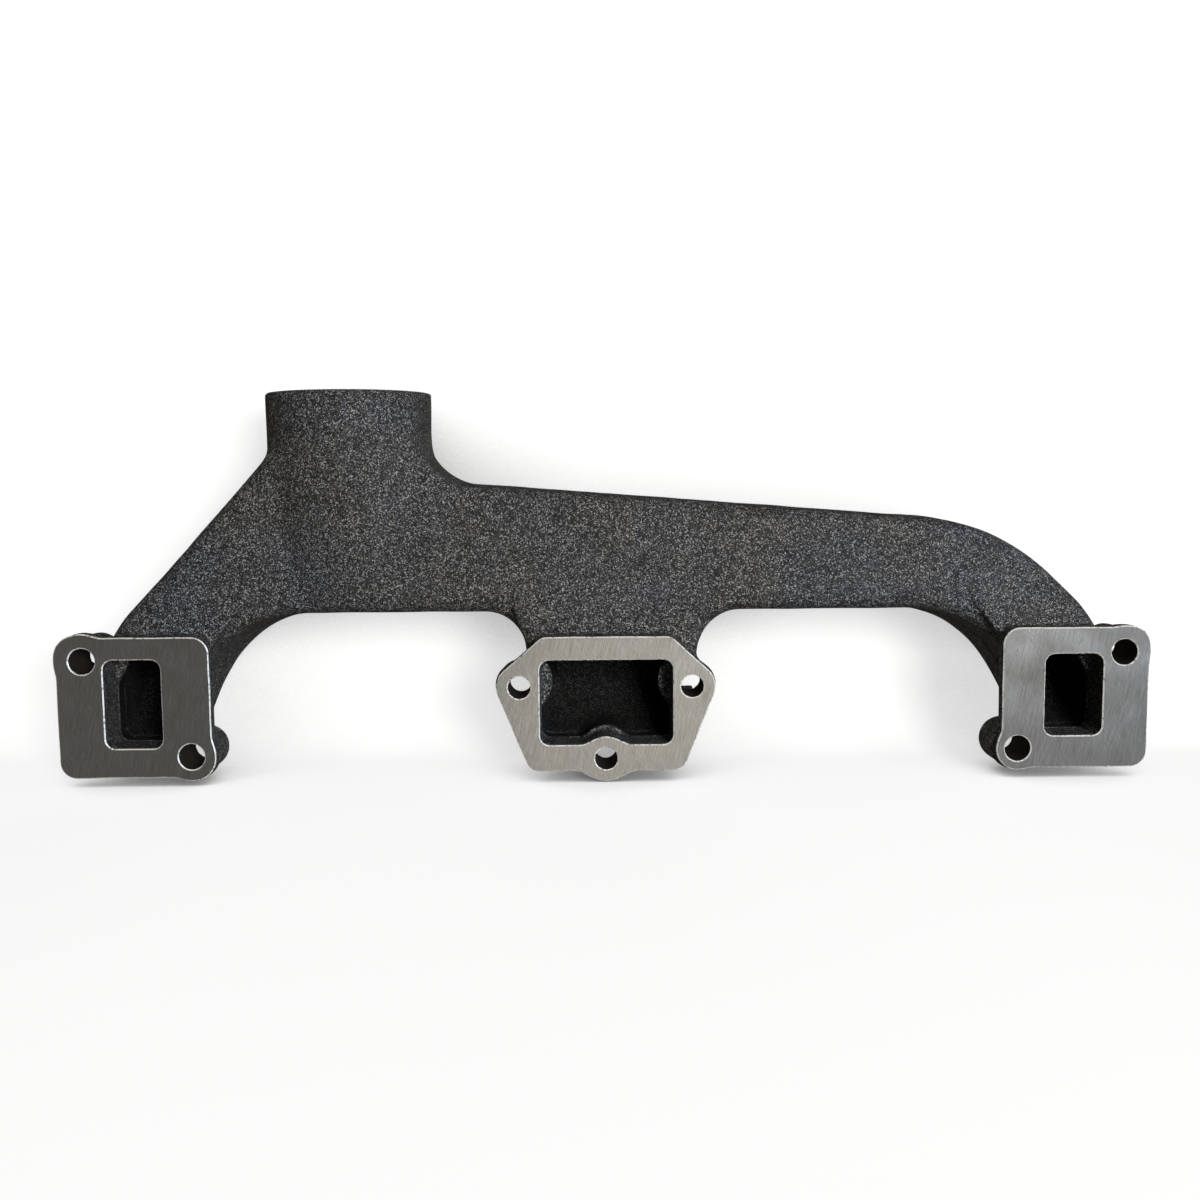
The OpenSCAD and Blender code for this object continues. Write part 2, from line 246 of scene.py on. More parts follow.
def under_field(x, z, inset):
    """Above the underside: straight below the log, then round the two pivots."""
    out = np.maximum(np.maximum((x - RIGHT_ARC_X) / RIGHT_STRETCH, (LEFT_ARC_X - x) / LEFT_STRETCH), 0)
    up = z - PIVOT_Z
    return BEND_IN + inset - np.where(out > 0, np.hypot(out, np.maximum(up, 0)), up)


def top_field(x, z):
    """Below the top edge: left arm, wall beside the neck, log and right bend."""
    run, rise = ARM_HIGH[0] - ARM_LOW[0], ARM_HIGH[1] - ARM_LOW[1]
    length = math.hypot(run, rise)
    left = ((z - ARM_LOW[1]) * run - (x - ARM_LOW[0]) * rise) / length
    left = meet(left, LEFT_WALL - x, OUTER_CORNER)

    slope = (LOG_Z1 - LOG_Z0) / (LOG_X1 - LOG_X0)
    log = (z - LOG_Z0 - slope * (x - LOG_X0)) / math.hypot(1, slope)
    log = np.maximum(join(log, x - NECK_FLAT, GUSSET_R), z - FLAT_TOP)

    dx, dz = x - LOG_X1, z - PIVOT_Z
    turn = np.clip(np.arctan2(dz, np.maximum(dx, 1e-6)) / (math.pi / 4) - 1, 0, 1)
    arc = np.hypot(dx, dz) - BEND_45 - (BEND_90 - BEND_45) * turn
    bend = np.where(dx > dz, (dx + dz) / math.sqrt(2) - BEND_45, arc)
    right = meet(bend, x - RIGHT_WALL, OUTER_CORNER)
    return np.where(dx > 0, right, np.maximum(log, left))


def back_field(x, y, z, inset):
    """In front of the back wall, which turns forward below ELBOW_Z as each elbow's floor."""
    radius = LOG_BACK - ELBOW_Y
    floor = ELBOW_Z + WALL - by_place(x, LEFT_PORT[2], CENTRE_PORT[2], RIGHT_PORT[2])
    depth = np.maximum(y - ELBOW_Y, 0) / radius
    drop = np.maximum(ELBOW_Z - z, 0) / floor
    return (np.hypot(depth, drop) - 1) * radius + inset


def front_field(x, y, z):
    """Behind the front wall, which ramps forward to each flange."""
    ramp = LOG_FRONT - RAMP * np.minimum(RAMP_TOP - z, RAMP_LENGTH)
    beside = np.abs(x - MIDDLE_X)
    crease = CREASE_SLOPE[0] * (CREASE_AT[0] - beside) - CREASE_SLOPE[1] * (z - CREASE_AT[1])
    side = np.where(beside > PORT_SPLIT, crease, beside - CENTRE_RAMP)
    return join(LOG_FRONT - y, meet(ramp - y, side, 1.5), 2.5)


def neck_radius(z):
    return NECK_R - BULGE_LOSS * np.exp((BULGE_Z - z) / BULGE_FADE)


def flange_field(x, y, z):
    """The three port plates with the lands of their bolts."""
    plates = []
    for side, plate, lands in (("left", LEFT_PLATE, LEFT_LANDS), ("right", RIGHT_PLATE, RIGHT_LANDS)):
        outer = from_bolt(x, z, f"{side}_upper_boss") - lands[0]
        inner = from_bolt(x, z, f"{side}_lower_boss") - lands[1]
        plates.append(join(join(rounded_box(x, z, plate, PLATE_CORNER), outer, 1.5), inner, 2.0))
    lobe = from_bolt(x, z, "centre_lower_boss") - PLATE_LOBE_R
    plates.append(join(hull_of_circles(x, z, CENTRE_PLATE), lobe, 5.0))
    outline = np.minimum(np.minimum(plates[0], plates[1]), plates[2])
    back = span("centre_flange")[1][1]
    return meet(outline, y - back, PLATE_BACK_R)


def boss_field(x, y, z):
    field = FAR
    for name, bolt in BOLTS.items():
        post = meet(from_bolt(x, z, name) - bolt["boss"], y - bolt["depth"], BOSS_END_R)
        field = np.minimum(field, np.maximum(post, 6.0 - y))
    return field


def sleeve_field(x, y, z):
    """Metal round the straight part of the two end ports."""
    ends = np.minimum(rounded_box(x, z, LEFT_PORT, PORT_R), rounded_box(x, z, RIGHT_PORT, PORT_R))
    return meet(ends - WALL, np.maximum(y - SLEEVE_END, 1 - y), 3.0)


def outside_field(x, y, z):
    """The cast skin, before the passages and holes are cut."""
    half = RUNNER_HALF - RUNNER_TAPER * np.clip((TAPER_TOP - z) / TAPER_LENGTH, 0, 1)
    under = join(under_field(x, z, 0), np.abs(x - RUNNER_MID) - half, RUNNER_FILLET)
    under = under - UNDER_DRAFT * (y - LOG_FRONT)
    sides = np.maximum(top_field(x, z), under)
    skin = meet(sides, np.maximum(back_field(x, y, z, 0), front_field(x, y, z)), EDGE_R)

    neck = (np.hypot(x - NECK_X, y - NECK_Y) - neck_radius(z)) * NECK_EASE
    neck = np.maximum(neck, BULGE_Z - 2 - z)
    skin = join(skin, neck, 4.5 + 4 * fade((26 - np.abs(x - NECK_X)) / 12))
    skin = skin - PARTING_HEIGHT * np.exp(-((y - NECK_Y) / PARTING_WIDTH) ** 2)
    skin = join(skin, sleeve_field(x, y, z), BOSS_FILLET)
    skin = join(skin, flange_field(x, y, z), PLATE_FILLET)
    skin = join(skin, boss_field(x, y, z), BOSS_FILLET)
    for name, bolt in BOLTS.items():
        relief = np.maximum(from_bolt(x, z, name) - HEAD_RELIEF, bolt["depth"] - y)
        skin = meet(skin, -relief, RELIEF_EDGE_R)
    # slow unevenness of a sand mould
    wave = np.sin(x / 5.3 + 1.4 * np.sin(z / 8.1)) * np.sin(z / 6.1 + 1.2 * np.sin(x / 11.7 + y / 7.0))
    return skin + 0.10 * wave


def port_field(x, y, z):
    """The straight part of the three port openings."""
    ends = np.minimum(rounded_box(x, z, LEFT_PORT, PORT_R), rounded_box(x, z, RIGHT_PORT, PORT_R))
    land = from_bolt(x, z, "centre_lower_boss") - LOBE_R
    centre = -join(-rounded_box(x, z, CENTRE_PORT, PORT_R), land, 3.0)
    return np.maximum(np.minimum(ends, centre), y - PORT_END)


def passage_field(x, y, z):
    """The hollow inside: ports, elbows, arms, log and outlet bore."""
    half = (CENTRE_PORT[1] - CENTRE_PORT[0]) / 2
    under = join(under_field(x, z, WALL), np.abs(x - 0.2) - half, 8.0)
    sides = np.maximum(top_field(x, z) + WALL, under)
    depth = np.maximum(back_field(x, y, z, WALL), LOG_FRONT + WALL - y)
    duct = join(meet(sides, depth, CORE_R), port_field(x, y, z), 1.5)
    for name in BOLTS:
        radius = LOW_ISLAND_R if name == "centre_lower_boss" else ISLAND_R
        island = np.maximum(from_bolt(x, z, name) - radius, PORT_DEPTH - 0.5 - y)
        duct = meet(duct, -island, 2.5)
    bore = np.hypot(x - NECK_X, y - NECK_Y) - neck_radius(z) + NECK_R - BORE_R
    return join(duct, np.maximum(bore, BORE_BOTTOM - z), CORE_R)


def hole_field(x, z):
    field = FAR
    for name, bolt in BOLTS.items():
        field = np.minimum(field, from_bolt(x, z, name) - bolt["hole"])
    return field


def casting(x, y, z):
    solid = np.maximum(outside_field(x, y, z), -passage_field(x, y, z))
    return np.maximum(solid, -hole_field(x, z))


# ---- meshing ----
def sample(points, step=0.04):
    """Value and gradient of the casting's field at each point."""
    value = 0
    gradient = 0
    for corner in ((1, -1, -1), (-1, -1, 1), (-1, 1, -1), (1, 1, 1)):
        p = points + step * np.array(corner)
        f = casting(p[:, 0], p[:, 1], p[:, 2])
        value = value + f / 4
        gradient = gradient + f[:, None] * np.array(corner) / (4 * step)
    return value, gradient


def settle(points, rounds=3, most=0.5):
    """Moves points onto the surface."""
    for _ in range(rounds):
        value, gradient = sample(points)
        shift = gradient * (value / np.maximum((gradient ** 2).sum(1), 0.1))[:, None]
        points = points - np.clip(shift, -most, most)
    return points


def surface_nets(xs, ys, zs):
    """Quads round the casting: one point in each grid cell that the surface crosses."""
    field = casting(xs[:, None, None], ys[None, :, None], zs[None, None, :]).astype(np.float32)
    inside = field < 0
    corners = list(itertools.product((0, 1), repeat=3))
    cut = [n - 1 for n in field.shape]
    count = np.zeros(cut, np.uint8)
    for i, j, k in corners:
        count += inside[i:cut[0] + i, j:cut[1] + j, k:cut[2] + k]
    cells = np.argwhere((count > 0) & (count < 8))
    index = np.full(cut, -1, np.int32)
    index[tuple(cells.T)] = np.arange(len(cells))

    at = {c: field[tuple((cells + c).T)] for c in corners}
    total = np.zeros((len(cells), 3))
    hits = np.zeros(len(cells))
    for a, b in itertools.combinations(corners, 2):
        if sum(abs(p - q) for p, q in zip(a, b)) != 1:
            continue
        crossed = (at[a] < 0) != (at[b] < 0)
        t = np.where(crossed, at[a] / np.where(crossed, at[a] - at[b], 1), 0)
        place = np.array(a) + t[:, None] * (np.array(b) - np.array(a))
        total += crossed[:, None] * place
        hits += crossed
    unit = total / hits[:, None]
    points = np.empty_like(unit)
    for axis, grid in enumerate((xs, ys, zs)):
        low = cells[:, axis]
        points[:, axis] = grid[low] + unit[:, axis] * (grid[low + 1] - grid[low])

    quads = []
    for axis in range(3):
        b, c = (axis + 1) % 3, (axis + 2) % 3
        start = np.moveaxis(inside, (axis, b, c), (0, 1, 2))
        changed = np.argwhere(start[:-1, 1:-1, 1:-1] != start[1:, 1:-1, 1:-1])
        leaving = start[changed[:, 0], changed[:, 1] + 1, changed[:, 2] + 1]
        turned = np.moveaxis(index, (axis, b, c), (0, 1, 2))
        ring = [turned[changed[:, 0], changed[:, 1] + u, changed[:, 2] + v]
                for u, v in ((0, 0), (1, 0), (1, 1), (0, 1))]
        ring = np.stack(ring, 1)
        quads.append(np.where(leaving[:, None], ring, ring[:, ::-1]))
    return points, np.concatenate(quads)


def grid_line(low, high, step, fine=()):
    """Grid positions from low to high, closer together round each fine place."""
    line = [low]
    while line[-1] < high:
        near = any(abs(line[-1] - place) < 2 for place in fine)
        line.append(line[-1] + (FINE_GRID if near else step))
    return np.array(line)


CAST, MILLED, BEVEL, DRILLED, SECTION, SHADED_PASSAGE = range(6)


def mill(mesh, axis, level, side, bevel, bevel_material):
    """Cuts the casting flat at level across axis, with a small bevel round every edge. The cut
    leaves the metal on the side that side (1 or -1) points to."""
    normal = Vector([side if i == axis else 0 for i in range(3)])
    shoulder = level + side * bevel
    point = Vector([shoulder if i == axis else 0 for i in range(3)])
    geometry = mesh.verts[:] + mesh.edges[:] + mesh.faces[:]
    bmesh.ops.bisect_plane(mesh, geom=geometry, plane_co=point, plane_no=normal, clear_inner=True)
    rim = [e for e in mesh.edges if e.is_boundary]
    made = bmesh.ops.extrude_edge_only(mesh, edges=rim)["geom"]
    corners = [v for v in made if isinstance(v, bmesh.types.BMVert)]
    places = np.array([v.co for v in corners])
    outward = sample(places)[1]
    outward[:, axis] = 0
    outward /= np.linalg.norm(outward, axis=1)[:, None]
    places -= outward * bevel
    places[:, axis] = level
    for vert, place in zip(corners, places):
        vert.co = place
    for face in made:
        if isinstance(face, bmesh.types.BMFace):
            face.material_index = bevel_material
    top = [e for e in made if isinstance(e, bmesh.types.BMEdge) and e.is_boundary]
    filled = bmesh.ops.triangle_fill(mesh, edges=top, normal=-normal, use_beauty=True)["geom"]
    for face in filled:
        if isinstance(face, bmesh.types.BMFace):
            face.material_index = MILLED


def cast_body(step):
    """The whole casting as one closed mesh in millimetres, milled at its faces."""
    lo, hi = (np.array(corner) / MM for corner in cad_box)
    margin = 3
    points, quads = surface_nets(
        grid_line(lo[0] - margin, hi[0] + margin, step),
        grid_line(-2.0, hi[1] + margin, step, fine=(NECK_Y,)),
        grid_line(lo[2] - margin, hi[2] + margin, step))
    points = settle(points)
    data = bpy.data.meshes.new("casting")
    data.from_pydata(points.tolist(), [], quads.tolist())
    for material in MATERIALS:
        data.materials.append(material)
    mesh = bmesh.new()
    mesh.from_mesh(data)
    mill(mesh, 1, 0.0, 1, PORT_BEVEL, BEVEL)
    mill(mesh, 2, NECK_TOP, -1, RIM_BEVEL, CAST)
    bmesh.ops.recalc_face_normals(mesh, faces=mesh.faces[:])
    open_edges = sum(1 for e in mesh.edges if not e.is_manifold)
    print("casting faces", len(mesh.faces), "open edges", open_edges)
    mesh.to_mesh(data)
    mesh.free()
    return data


def prism(outline, y0, y1):
    """Closed block over an outline drawn in X and Z, from depth y0 to depth y1."""
    mesh = bmesh.new()
    front = [mesh.verts.new((x, y0, z)) for x, z in outline]
    back = [mesh.verts.new((x, y1, z)) for x, z in outline]
    mesh.faces.new(front)
    mesh.faces.new(back[::-1])
    for i in range(len(outline)):
        j = (i + 1) % len(outline)
        mesh.faces.new((front[i], back[i], back[j], front[j]))
    bmesh.ops.recalc_face_normals(mesh, faces=mesh.faces[:])
    for face in mesh.faces:
        face.material_index = SECTION
    data = bpy.data.meshes.new("cutter")
    for material in MATERIALS:
        data.materials.append(material)
    mesh.to_mesh(data)
    mesh.free()
    return data


def cut_object(data):
    obj = bpy.data.objects.new("cut", data)
    bpy.context.scene.collection.objects.link(obj)
    return obj


def split(data, cutter):
    """The mesh inside the cutter and the mesh outside it."""
    whole, tool = cut_object(data), cut_object(cutter)
    parts = []
    for operation in ("INTERSECT", "DIFFERENCE"):
        whole.modifiers.clear()
        modifier = whole.modifiers.new("cut", "BOOLEAN")
        modifier.object = tool
        modifier.operation = operation
        modifier.solver = "MANIFOLD"
        graph = bpy.context.evaluated_depsgraph_get()
        parts.append(bpy.data.meshes.new_from_object(whole.evaluated_get(graph)))
    bpy.data.objects.remove(whole)
    bpy.data.objects.remove(tool)
    return parts


def rectangle(x0, x1, z0, z1):
    return [(x0, z0), (x1, z0), (x1, z1), (x0, z1)]


def wedge(pivot_x, low, high):
    """Outline between two rays from an arm's pivot, at angles above the horizontal."""
    rays = [math.radians(a) for a in (low, high)]
    near, far = 12, 160
    return [(pivot_x + r * math.cos(a), PIVOT_Z + r * math.sin(a))
            for a, r in ((rays[0], near), (rays[0], far), (rays[1], far), (rays[1], near))]


def circle(name, radius, sides=64):
    bolt = BOLTS[name]
    turns = [2 * math.pi * i / sides for i in range(sides)]
    return [(bolt["x"] + radius * math.cos(t), bolt["z"] + radius * math.sin(t)) for t in turns]


def cuts_by_side():
    """For each third of the casting, its cutters in order and the name of what is left."""
    deep = (-5, 80)
    shallow = (-5, CUT_Y)
    boss = {name: (name, circle(name, bolt["boss"] + 0.7), (CUT_Y, bolt["depth"] + 0.5))
            for name, bolt in BOLTS.items()}
    left = [("left_flange", rectangle(-240, -140, -60, 40), shallow),
            boss["left_upper_boss"], boss["left_lower_boss"],
            ("outlet_neck", rectangle(-160, -50, 95, 130), deep),
            ("left_arm", wedge(LEFT_PIVOT_X, 102, 145), deep),
            ("collector", rectangle(-152, -40, 5, 130), deep)]
    centre = [("centre_flange", rectangle(-60, 60, -60, 40), shallow),
              boss["centre_left_boss"], boss["centre_right_boss"], boss["centre_lower_boss"],
              ("centre_runner", rectangle(-49, 49, -60, 38), deep),
              ("log_left", rectangle(-80, 0, -60, 130), deep)]
    right = [("right_flange", rectangle(140, 240, -60, 40), shallow),
             boss["right_upper_boss"], boss["right_lower_boss"],
             ("right_bend", wedge(LOG_X1, 35, 100), deep)]
    return [(rectangle(-260, LOG_X0, -80, 150), left, "left_elbow"),
            (rectangle(LOG_X1, 260, -80, 150), right, "right_elbow"),
            (None, centre, "log_right")]


def cut_into_regions(data):
    regions = {}
    for third, cuts, rest in cuts_by_side():
        part = data
        if third:
            part, data = split(data, prism(third, -10, 90))
        for name, outline, (y0, y1) in cuts:
            regions[name], part = split(part, prism(outline, y0, y1))
        regions[rest] = part
    return regions


# ---- materials ----
# how bright single grains are: share of them below, brightness. Most of it is the grains' own random
# tone; the few brightest are painted glints, highlights put into the colour
GRAIN_TONES_AND_GLINTS = ((0.0, 0.02), (0.35, 0.15), (0.62, 0.8), (0.85, 2.8), (1.0, 9.0))


class Paint:
    """A material and a short way to add its nodes."""

    def __init__(self, name):
        self.material = bpy.data.materials.new(name)
        self.material.use_nodes = True
        self.nodes = self.material.node_tree.nodes
        self.shader = self.nodes["Principled BSDF"]
        place = self.add("ShaderNodeTexCoord").outputs["Object"]
        self.place = self.add(
            "ShaderNodeVectorMath", {0: place, "Scale": 1 / MM}, operation="SCALE").outputs[0]

    def add(self, kind, inputs=None, **settings):
        node = self.nodes.new(kind)
        for key, value in settings.items():
            setattr(node, key, value)
        for key, value in (inputs or {}).items():
            if isinstance(value, bpy.types.NodeSocket):
                self.material.node_tree.links.new(value, node.inputs[key])
            else:
                node.inputs[key].default_value = value
        return node

    def noise(self, scale, detail=2.0, place=None):
        return self.add("ShaderNodeTexNoise", {
            "Vector": place or self.place, "Scale": scale, "Detail": detail}).outputs[0]

    def grains(self, scale):
        """Packed grains: the distance from each one's middle, and two random numbers for it."""
        node = self.add("ShaderNodeTexVoronoi", {"Vector": self.place, "Scale": scale})
        parts = self.add("ShaderNodeSeparateColor", {0: node.outputs["Color"]})
        return node.outputs["Distance"], parts.outputs[0], parts.outputs[1]

    def stretched(self, turn, size):
        """Coordinates for marks of a size in millimetres, turned in the X and Z plane."""
        return self.add("ShaderNodeMapping", {
            "Vector": self.place, "Rotation": (0, math.radians(turn), 0), "Scale": size},
            vector_type="TEXTURE").outputs[0]

    def ramp(self, value, *stops):
        node = self.add("ShaderNodeValToRGB", {0: value})
        bars = node.color_ramp.elements
        bars[1].position = stops[-1][0]
        bars[0].position = stops[0][0]
        for at, _ in stops[1:-1]:
            bars.new(at)
        for bar, (_, color) in zip(bars, stops):
            bar.color = (*color, 1) if isinstance(color, tuple) else (color, color, color, 1)
        return node.outputs[0]

    def mix(self, factor, a, b, blend="MIX"):
        node = self.add("ShaderNodeMix", {0: factor}, data_type="RGBA", blend_type=blend)
        for socket, value in ((6, a), (7, b)):
            if isinstance(value, bpy.types.NodeSocket):
                self.material.node_tree.links.new(value, node.inputs[socket])
            else:
                node.inputs[socket].default_value = (*value, 1)
        return node.outputs[2]

    def math(self, operation, a, b):
        return self.add("ShaderNodeMath", {0: a, 1: b}, operation=operation).outputs[0]

    def bump(self, height, strength, distance, normal=None):
        inputs = {"Height": height, "Strength": strength, "Distance": distance * MM}
        if normal:
            inputs["Normal"] = normal
        return self.add("ShaderNodeBump", inputs).outputs[0]

    def connect(self, **inputs):
        for key, value in inputs.items():
            socket = self.shader.inputs[key.replace("_", " ")]
            if isinstance(value, bpy.types.NodeSocket):
                self.material.node_tree.links.new(value, socket)
            else:
                socket.default_value = value
        return self.material


def cast_iron(name, light, rough, gloss):
    """Sand-cast iron: packed dark grains of many greys, with single ones painted bright as glints."""
    paint = Paint(name)
    near, shade, tint = paint.grains(2.6)
    fine = paint.noise(2.1, 3.0)
    coarse = paint.noise(0.28, 3.0)
    patch = paint.noise(0.022, 2.0)
    grain = paint.mix(tint, (0.074, 0.068, 0.057), (0.061, 0.067, 0.080))
    cast = paint.ramp(patch, (0.35, (1.05, 1.0, 0.93)), (0.65, (0.95, 1.0, 1.06)))
    grain = paint.mix(1.0, grain, cast, "MULTIPLY")
    # grain tone with painted glints: the brightest grains stand in for highlights
    tone_and_glint = paint.ramp(shade, *((at, level * light) for at, level in GRAIN_TONES_AND_GLINTS))
    color = paint.mix(1.0, grain, tone_and_glint, "MULTIPLY")
    # darker towards each grain's edge: painted shade in the gaps between the grains
    color = paint.mix(1.0, color, paint.ramp(near, (0.30, 1.0), (0.70, 0.5)), "MULTIPLY")
    dome = paint.ramp(near, (0.0, 1.0), (0.62, 0.0))
    height = paint.math("ADD", dome, paint.math("MULTIPLY", fine, 0.8))
    normal = paint.bump(coarse, 0.35, 0.9)
    normal = paint.bump(height, 0.9, 0.26, normal)
    return paint.connect(Base_Color=color, Roughness=rough, Specular_IOR_Level=gloss, Normal=normal)


def milled_face():
    """Milled flat: faint cutter lines in two directions and dull smudges."""
    paint = Paint("milled_face")
    lines = paint.noise(1.0, 3.0, paint.stretched(12, (0.45, 1, 9)))
    cross = paint.noise(1.0, 3.0, paint.stretched(-38, (0.35, 1, 6)))
    smudge = paint.noise(0.06, 3.0)
    pits = paint.noise(1.3, 3.0)
    marks = paint.math("ADD", lines, paint.math("MULTIPLY", cross, 0.6))
    color = paint.ramp(marks, (0.60, 0.33), (1.00, 0.50))
    tone = paint.ramp(smudge, (0.3, (0.96, 0.94, 0.90)), (0.7, (1.0, 1.0, 1.0)))
    color = paint.mix(1.0, color, tone, "MULTIPLY")
    color = paint.mix(1.0, color, paint.ramp(pits, (0.28, 0.78), (0.40, 1.0)), "MULTIPLY")
    normal = paint.bump(marks, 0.45, 0.03)
    normal = paint.bump(pits, 0.35, 0.04, normal)
    rough = paint.ramp(smudge, (0.3, 0.16), (0.7, 0.22))
    return paint.connect(Base_Color=color, Roughness=rough, Metallic=0.92, Normal=normal)


def bevel_edge():
    """Deburred edges: bare metal, lighter than the skin, and painted near white as the bright highlight
    line they catch.
    """
    paint = Paint("bevel_edge")
    nicks = paint.noise(0.9, 3.0)
    color = paint.ramp(nicks, (0.36, (0.30, 0.29, 0.27)), (0.46, (0.92, 0.92, 0.90)))
    normal = paint.bump(nicks, 0.4, 0.1)
    return paint.connect(Base_Color=color, Roughness=0.42, Metallic=0.25, Normal=normal)


def drilled_hole():
    """Drilled walls: painted dark, as the shade inside the holes, with rings left by the drill."""
    paint = Paint("drilled_hole")
    rings = paint.noise(1.0, 2.0, paint.stretched(0, (20, 0.33, 20)))
    color = paint.ramp(rings, (0.35, (0.012, 0.009, 0.007)), (0.65, (0.034, 0.027, 0.021)))
    normal = paint.bump(rings, 0.4, 0.08)
    return paint.connect(Base_Color=color, Roughness=0.7, Specular_IOR_Level=0.2, Normal=normal)


# ---- pieces ----
def corner_normals(data, points):
    """One normal for each face corner: the field's own slope on cast skin, flat on cut faces."""
    count = len(data.polygons)
    flat = np.zeros(count * 3)
    data.polygons.foreach_get("normal", flat)
    sides = np.zeros(count, np.int32)
    data.polygons.foreach_get("loop_total", sides)
    kind = np.zeros(count, np.int32)
    data.polygons.foreach_get("material_index", kind)
    corner = np.zeros(len(data.loops), np.int32)
    data.loops.foreach_get("vertex_index", corner)
    smooth = sample(points)[1]
    smooth /= np.maximum(np.linalg.norm(smooth, axis=1), 1e-6)[:, None]
    face = np.repeat(np.arange(count), sides)
    flat = flat.reshape(-1, 3)[face]
    smooth = smooth[corner]
    cast = np.isin(kind[face], (CAST, DRILLED, SHADED_PASSAGE)) & ((smooth * flat).sum(1) > 0.75)
    return np.where(cast[:, None], smooth, flat)


def mark_inside(data):
    """Gives the walls of the bolt holes and of the passages their own materials, both painted dark as
    the shade inside them.
    """
    centres = np.zeros(len(data.polygons) * 3)
    data.polygons.foreach_get("center", centres)
    kind = np.zeros(len(data.polygons), np.int32)
    data.polygons.foreach_get("material_index", kind)
    x, y, z = centres.reshape(-1, 3).T
    kind[(kind == CAST) & (np.abs(hole_field(x, z)) < 0.12)] = DRILLED
    kind[(kind == CAST) & (passage_field(x, y, z) < 0.5) & (y > SHADED_PASSAGE_Y)] = SHADED_PASSAGE
    data.polygons.foreach_set("material_index", kind)


def ring_bead(side, port, radius=0.17, turns=160, sides=6):
    """Thin fin left by the core, round a port where its straight part ends."""
    cx, cz = (port[0] + port[1]) / 2, (port[2] + port[3]) / 2 + 3
    line = []
    for i in range(turns):
        a = 2 * math.pi * i / turns
        low, high = 0.0, 60.0
        for _ in range(30):
            r = (low + high) / 2
            inside = port_field(cx + r * math.cos(a), PORT_DEPTH - 2, cz + r * math.sin(a)) < 0
            low, high = (r, high) if inside else (low, r)
        line.append(np.array([cx + low * math.cos(a), PORT_DEPTH, cz + low * math.sin(a)]))
    verts, faces = [], []
    for i, point in enumerate(line):
        ahead = line[(i + 1) % turns] - line[i - 1]
        across = np.cross(ahead / np.linalg.norm(ahead), (0, 1, 0))
        for j in range(sides):
            b = 2 * math.pi * j / sides
            verts.append(point + radius * (math.cos(b) * across + math.sin(b) * np.array([0, 1, 0])))
            n, m = (i + 1) % turns * sides, i * sides
            k = (j + 1) % sides
            faces.append((m + j, m + k, n + k, n + j))
    data = bpy.data.meshes.new(f"{side}_core_fin")
    data.from_pydata([tuple(v * MM) for v in verts], [], faces)
    data.materials.append(MATERIALS[CAST])
    obj = bpy.data.objects.new(f"{side}_core_fin", data)
    bpy.context.scene.collection.objects.link(obj)
    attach(obj, "root")


def make_piece(node, data):
    """Finishes one region of the casting and puts it in the CAD node's place."""
    mark_inside(data)
    points = np.zeros(len(data.vertices) * 3)
    data.vertices.foreach_get("co", points)
    normals = corner_normals(data, points.reshape(-1, 3))
    data.vertices.foreach_set("co", points * MM)
    data.update()
    data.polygons.foreach_set("use_smooth", [True] * len(data.polygons))
    data.normals_split_custom_set(normals.tolist())
    obj = bpy.data.objects.new(f"cast_{node}", data)
    bpy.context.scene.collection.objects.link(obj)
    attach(obj, "root")
    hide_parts(node)


# ---- camera, stage and light ----
def make_camera():
    """At the photograph's viewing angle: close, a little above the log, looking slightly down."""
    data = bpy.data.cameras.new("camera")
    data.sensor_width = 36
    data.lens = 37.5
    data.clip_start, data.clip_end = 0.01, 50
    camera = bpy.data.objects.new("camera", data)
    bpy.context.scene.collection.objects.link(camera)
    yaw, pitch, roll = math.radians(0.7), math.radians(-5.83), math.radians(-0.445)
    ahead = Vector((math.sin(yaw) * math.cos(pitch), math.cos(yaw) * math.cos(pitch), math.sin(pitch)))
    level = Vector((math.cos(yaw), -math.sin(yaw), 0))
    upright = level.cross(ahead)
    right = math.cos(roll) * level + math.sin(roll) * upright
    up = math.cos(roll) * upright - math.sin(roll) * level
    turn = Matrix((right, up, -ahead)).transposed().to_4x4()
    camera.matrix_world = Matrix.Translation(Vector((-8.23, -499.57, 86.44)) * MM) @ turn
    bpy.context.scene.camera = camera


def stage_paper():
    """White paper that glows, is shaded close to the casting, and is clear from behind."""
    material = bpy.data.materials.new("stage_paper")
    material.use_nodes = True
    nodes, links = material.node_tree.nodes, material.node_tree.links
    nodes.remove(nodes["Principled BSDF"])
    matt = nodes.new("ShaderNodeBsdfDiffuse")
    matt.inputs["Color"].default_value = (0.25, 0.25, 0.25, 1)
    glow = nodes.new("ShaderNodeEmission")
    glow.inputs["Strength"].default_value = 0.84
    near = nodes.new("ShaderNodeAmbientOcclusion")
    near.samples = 6
    near.inputs["Distance"].default_value = 0.07
    shadow = nodes.new("ShaderNodeMapRange")
    for socket, value in (("From Min", 0.20), ("From Max", 0.60), ("To Min", 0.12), ("To Max", 1.0)):
        shadow.inputs[socket].default_value = value
    links.new(near.outputs["AO"], shadow.inputs["Value"])
    links.new(shadow.outputs[0], glow.inputs["Color"])
    both = nodes.new("ShaderNodeAddShader")
    clear = nodes.new("ShaderNodeBsdfTransparent")
    side = nodes.new("ShaderNodeNewGeometry")
    chosen = nodes.new("ShaderNodeMixShader")
    links.new(matt.outputs[0], both.inputs[0])
    links.new(glow.outputs[0], both.inputs[1])
    links.new(side.outputs["Backfacing"], chosen.inputs[0])
    links.new(both.outputs[0], chosen.inputs[1])
    links.new(clear.outputs[0], chosen.inputs[2])
    links.new(chosen.outputs[0], nodes["Material Output"].inputs["Surface"])
    return material


